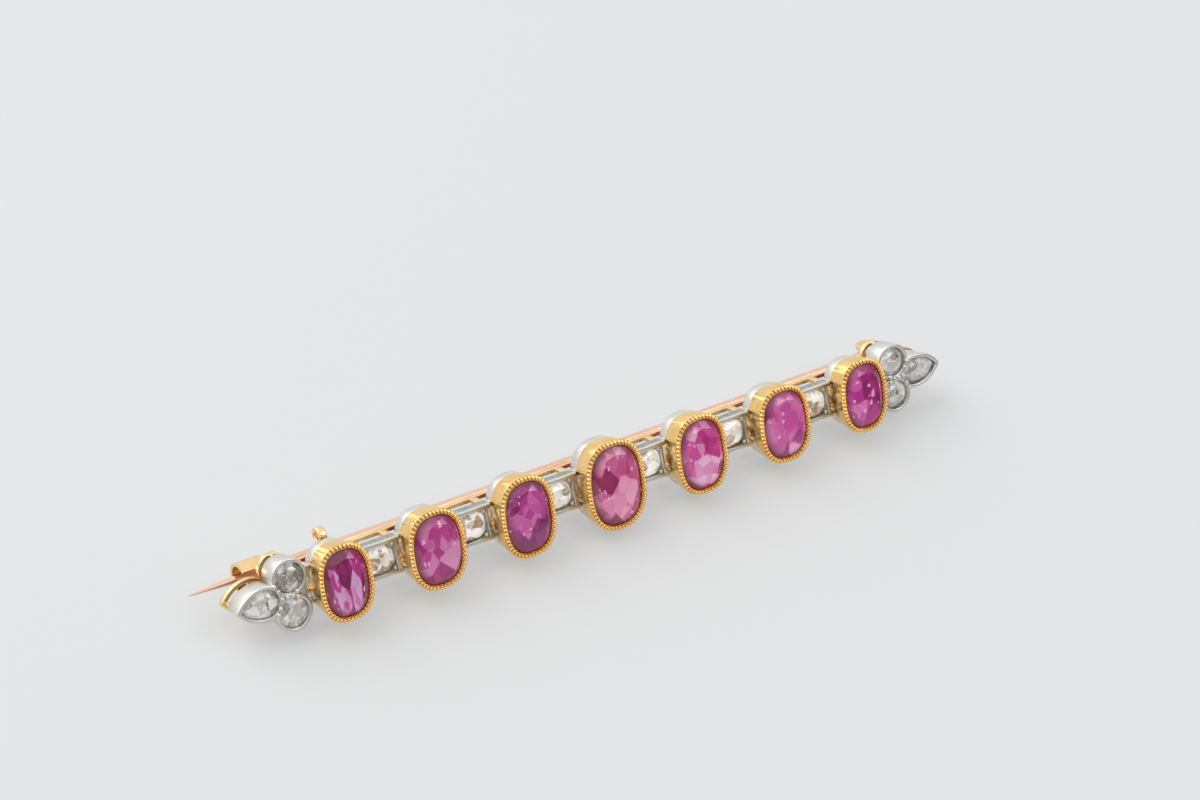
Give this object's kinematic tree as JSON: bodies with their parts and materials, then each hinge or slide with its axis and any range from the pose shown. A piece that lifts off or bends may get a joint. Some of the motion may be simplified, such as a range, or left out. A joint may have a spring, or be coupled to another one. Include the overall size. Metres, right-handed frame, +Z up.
{
  "type": "bar brooch",
  "caption": "Bar brooch with a row of red stones in beaded gold collets, small diamond boxes between them, a diamond cluster at each end and a hinged pin behind.",
  "frame": {"origin": "on the table, under the middle of the part's bounding box", "axes": "+X along the bar towards the pin's hinge, the stones face -Y and lean back a little, +Z up"},
  "size_m": [0.06, 0.0076, 0.0067],
  "materials": {
    "yellow_gold": "polished yellow gold",
    "rose_gold": "drawn rose-gold wire",
    "white_metal": "worn bright white metal",
    "ruby": "cut stone",
    "diamond": "cut stone"
  },
  "bodies": {
    "brooch": {"box_diamond_1": "diamond", "box_diamond_2": "diamond", "box_diamond_3": "diamond", "box_diamond_4": "diamond", "box_diamond_5": "diamond", "box_diamond_6": "diamond", "collet_1": "yellow_gold", "collet_2": "yellow_gold", "collet_3": "yellow_gold", "collet_4": "yellow_gold", "collet_5": "yellow_gold", "collet_6": "yellow_gold", "collet_7": "yellow_gold", "gold_back": "yellow_gold", "hinge_rivet": "yellow_gold", "left_pear_diamond": "diamond", "lower_left_diamond": "diamond", "lower_right_diamond": "diamond", "right_pear_diamond": "diamond", "ruby_1": "ruby", "ruby_2": "ruby", "ruby_3": "ruby", "ruby_4": "ruby", "ruby_5": "ruby", "ruby_6": "ruby", "ruby_7": "ruby", "safety_loop": "yellow_gold", "upper_left_diamond": "diamond", "upper_right_diamond": "diamond", "white_mount": "white_metal"},
    "pin": {"pin_stem": "rose_gold"}
  },
  "joints": [
    {"name": "pin_swing", "type": "hinge", "parent": "brooch", "child": "pin", "pos_m": [0.02662, 0.00268, 0.00209], "axis": [0, -0.414, -0.9103], "range_deg": [0, 100]}
  ]
}
